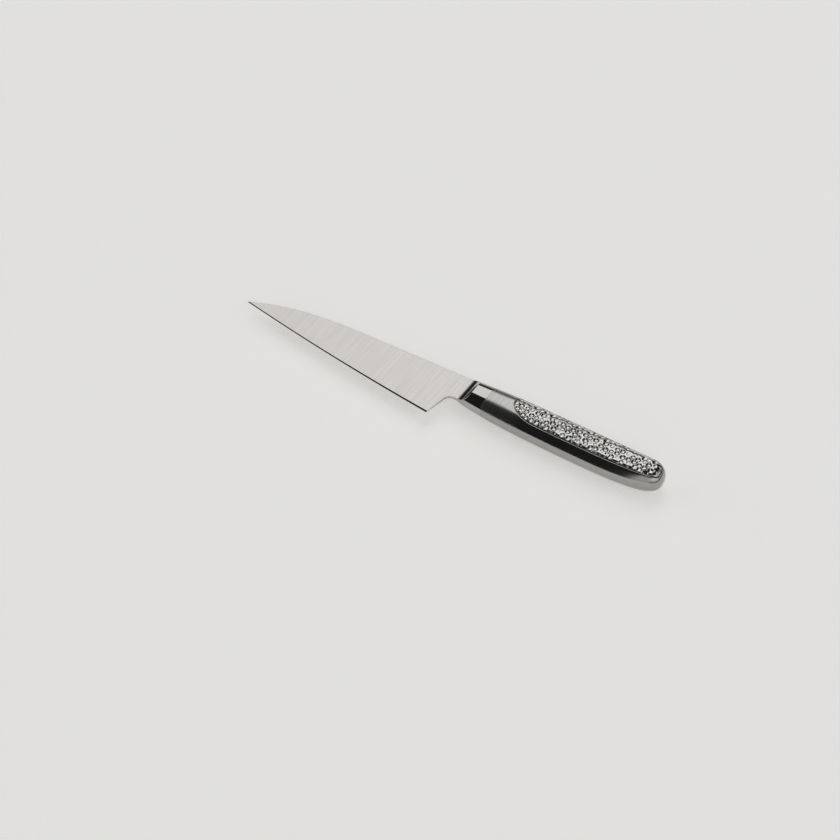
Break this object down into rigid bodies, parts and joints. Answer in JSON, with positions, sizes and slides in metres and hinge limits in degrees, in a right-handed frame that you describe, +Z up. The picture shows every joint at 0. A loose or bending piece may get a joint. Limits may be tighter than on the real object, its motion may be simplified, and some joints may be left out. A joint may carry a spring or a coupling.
{
  "type": "paring knife",
  "caption": "Paring knife with a satin flat-ground blade, scooped polished bolster and hollow steel handle inlaid with hammered grip plates.",
  "frame": {"origin": "middle of the lying knife's bounding box, at the level it rests on", "axes": "+X along the knife from tip to butt, +Y from the cutting edge to the spine, +Z up out of the left cheek"},
  "size_m": [0.205, 0.0266, 0.011],
  "materials": {
    "blade_steel": "satin flats, mirror polished bolster neck",
    "handle_steel": "fine brushed",
    "hammered_steel": "hammered and polished",
    "core_filler": "sand set in resin"
  },
  "bodies": {
    "root": {"blade": "blade_steel", "handle_shell_left": "handle_steel", "handle_shell_right": "handle_steel", "grip_plate_left": "hammered_steel", "grip_plate_right": "hammered_steel", "balance_core": "core_filler"}
  },
  "joints": []
}
